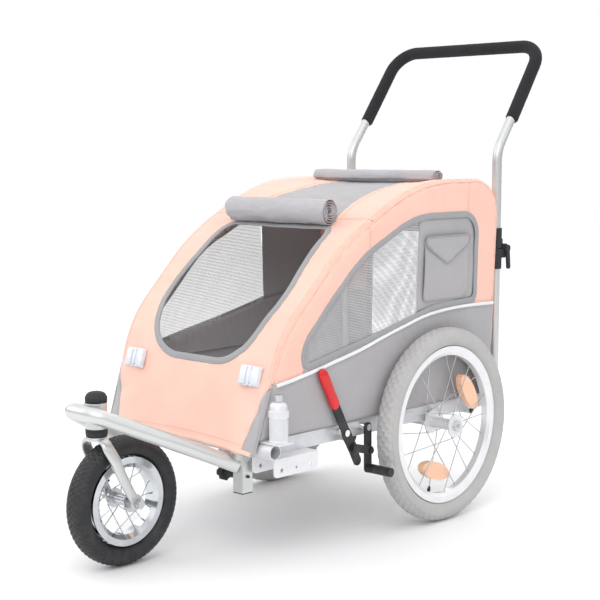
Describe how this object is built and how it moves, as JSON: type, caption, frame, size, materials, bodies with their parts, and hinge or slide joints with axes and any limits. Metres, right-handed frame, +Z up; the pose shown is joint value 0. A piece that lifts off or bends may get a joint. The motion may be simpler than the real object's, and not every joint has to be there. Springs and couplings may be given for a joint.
{
  "type": "pet stroller",
  "caption": "Pet trailer with stroller kit: fabric cabin on a tube frame, rear wheels, swivelling front wheel on a bent yoke, folding push handle, parking brakes, tow hitch.",
  "frame": {"origin": "centre of the whole object's plan, on the floor", "axes": "+X is the stroller's left, -Y its front, +Z up"},
  "size_m": [0.57, 1.181, 1.006],
  "materials": {
    "zinc_tube": "satin zinc plate",
    "rail_metal": "satin",
    "hitch_paint": "smooth powder coat",
    "black_steel": "black powder coat",
    "red_grip": "smooth moulded",
    "foam": "matt foam",
    "tyre_black": "moulded rubber",
    "tyre_grey": "moulded rubber",
    "rim_chrome": "polished",
    "rim_silver": "satin",
    "bright_metal": "polished",
    "peach_fabric": "woven polyester",
    "grey_fabric": "woven polyester",
    "mesh_fabric": "open mesh",
    "clip_plastic": "moulded",
    "reflector_amber": "prismatic",
    "black_plastic": "moulded"
  },
  "bodies": {
    "chassis": {"side_rails": "rail_metal", "front_cross_tube": "rail_metal", "floor_bearers": "rail_metal", "floor_board": "grey_fabric", "side_covers": "peach_fabric", "side_meshes": "mesh_fabric", "front_cover": "peach_fabric", "roof_cover": "grey_fabric", "rear_cover": "grey_fabric", "cabin_hoops": "rail_metal", "flap_rolls": "grey_fabric", "front_clips": "clip_plastic", "yoke_bow": "zinc_tube", "yoke_posts": "zinc_tube", "tube_plugs": "black_plastic", "head_tube": "zinc_tube", "head_bearings": "bright_metal", "head_caps": "black_plastic", "rear_axles": "bright_metal", "hitch_bracket": "hitch_paint", "hitch_lock_body": "hitch_paint", "brake_pivots": "bright_metal", "handle_uprights": "zinc_tube", "hinge_brackets": "black_plastic"},
    "fork": {"steerer": "bright_metal", "fork": "zinc_tube", "front_axle": "bright_metal", "front_axle_caps": "black_plastic"},
    "front_wheel": {"front_tyre": "tyre_black", "front_rim": "rim_chrome", "front_hub": "bright_metal", "front_spokes": "bright_metal"},
    "hitch_plunger": {"hitch_plunger": "hitch_paint"},
    "handle": {"handle_tube": "zinc_tube", "handle_grip": "foam", "hinge_tongues": "black_plastic"},
    "rear_wheel_left": {"rear_tyre_left": "tyre_grey", "rear_rim_left": "rim_silver", "rear_hub_left": "bright_metal", "rear_spokes_left": "bright_metal", "rear_reflectors_left": "reflector_amber"},
    "axle_button_left": {"axle_button_left": "bright_metal"},
    "brake_lever_left": {"brake_lever_left": "black_steel", "brake_grip_left": "red_grip"},
    "brake_arm_left": {"brake_arm_left": "black_steel"},
    "brake_link_left": {"brake_link_left": "black_steel"},
    "yoke_knob_left": {"yoke_knob_left": "black_plastic"},
    "hinge_cam_left": {"hinge_cam_left": "black_steel"},
    "rear_wheel_right": {"rear_tyre_right": "tyre_grey", "rear_rim_right": "rim_silver", "rear_hub_right": "bright_metal", "rear_spokes_right": "bright_metal", "rear_reflectors_right": "reflector_amber"},
    "axle_button_right": {"axle_button_right": "bright_metal"},
    "brake_lever_right": {"brake_lever_right": "black_steel", "brake_grip_right": "red_grip"},
    "brake_arm_right": {"brake_arm_right": "black_steel"},
    "brake_link_right": {"brake_link_right": "black_steel"},
    "yoke_knob_right": {"yoke_knob_right": "black_plastic"},
    "hinge_cam_right": {"hinge_cam_right": "black_steel"}
  },
  "joints": [
    {"name": "fork_swivel", "type": "hinge", "parent": "chassis", "child": "fork", "pos_m": [0, -0.5275, 0.28], "axis": [0, 0, 1], "continuous": true},
    {"name": "front_wheel_spin", "type": "hinge", "parent": "fork", "child": "front_wheel", "pos_m": [0, -0.4695, 0.121], "axis": [1, 0, 0], "continuous": true},
    {"name": "hitch_plunger_pull", "type": "slide", "parent": "chassis", "child": "hitch_plunger", "axis": [0, 0, 1], "range_m": [0, 0.012], "stiffness_N_per_m": 300, "springref_m": -0.01},
    {"name": "handle_fold", "type": "hinge", "parent": "chassis", "child": "handle", "pos_m": [0, 0.4225, 0.548], "axis": [1, 0, 0], "range_deg": [-160, 0]},
    {"name": "rear_wheel_spin_left", "type": "hinge", "parent": "chassis", "child": "rear_wheel_left", "pos_m": [0.243, 0.1775, 0.2], "axis": [1, 0, 0], "continuous": true},
    {"name": "axle_button_push_left", "type": "slide", "parent": "chassis", "child": "axle_button_left", "axis": [-1, 0, 0], "range_m": [0, 0.0035], "stiffness_N_per_m": 600, "springref_m": -0.002},
    {"name": "brake_lever_turn_left", "type": "hinge", "parent": "chassis", "child": "brake_lever_left", "pos_m": [0.225, -0.1065, 0.222], "axis": [1, 0, 0], "range_deg": [0, 18]},
    {"name": "brake_arm_turn_left", "type": "hinge", "parent": "chassis", "child": "brake_arm_left", "pos_m": [0.225, -0.0425, 0.224], "axis": [1, 0, 0], "range_deg": [0, 8.79]},
    {"name": "brake_link_turn_left", "type": "hinge", "parent": "brake_lever_left", "child": "brake_link_left", "pos_m": [0.2295, -0.0875, 0.191], "axis": [1, 0, 0], "range_deg": [-25.2, 0]},
    {"name": "yoke_knob_turn_left", "type": "hinge", "parent": "chassis", "child": "yoke_knob_left", "pos_m": [0.13, -0.3165, 0.166], "axis": [1, 0, 0], "continuous": true},
    {"name": "hinge_cam_turn_left", "type": "hinge", "parent": "chassis", "child": "hinge_cam_left", "pos_m": [0.22, 0.4225, 0.548], "axis": [1, 0, 0], "range_deg": [0, 110]},
    {"name": "rear_wheel_spin_right", "type": "hinge", "parent": "chassis", "child": "rear_wheel_right", "pos_m": [-0.243, 0.1775, 0.2], "axis": [1, 0, 0], "continuous": true},
    {"name": "axle_button_push_right", "type": "slide", "parent": "chassis", "child": "axle_button_right", "axis": [1, 0, 0], "range_m": [0, 0.0035], "stiffness_N_per_m": 600, "springref_m": -0.002},
    {"name": "brake_lever_turn_right", "type": "hinge", "parent": "chassis", "child": "brake_lever_right", "pos_m": [-0.225, -0.1065, 0.222], "axis": [1, 0, 0], "range_deg": [0, 18]},
    {"name": "brake_arm_turn_right", "type": "hinge", "parent": "chassis", "child": "brake_arm_right", "pos_m": [-0.225, -0.0425, 0.224], "axis": [1, 0, 0], "range_deg": [0, 8.79]},
    {"name": "brake_link_turn_right", "type": "hinge", "parent": "brake_lever_right", "child": "brake_link_right", "pos_m": [-0.2295, -0.0875, 0.191], "axis": [1, 0, 0], "range_deg": [-25.2, 0]},
    {"name": "yoke_knob_turn_right", "type": "hinge", "parent": "chassis", "child": "yoke_knob_right", "pos_m": [-0.13, -0.3165, 0.166], "axis": [1, 0, 0], "continuous": true},
    {"name": "hinge_cam_turn_right", "type": "hinge", "parent": "chassis", "child": "hinge_cam_right", "pos_m": [-0.22, 0.4225, 0.548], "axis": [1, 0, 0], "range_deg": [0, 110]}
  ],
  "couplings": [
    {"joint": "brake_arm_turn_left", "follows": "brake_lever_turn_left", "ratio": 0.488},
    {"joint": "brake_link_turn_left", "follows": "brake_lever_turn_left", "ratio": -1.3992},
    {"joint": "brake_arm_turn_right", "follows": "brake_lever_turn_right", "ratio": 0.488},
    {"joint": "brake_link_turn_right", "follows": "brake_lever_turn_right", "ratio": -1.3992}
  ]
}
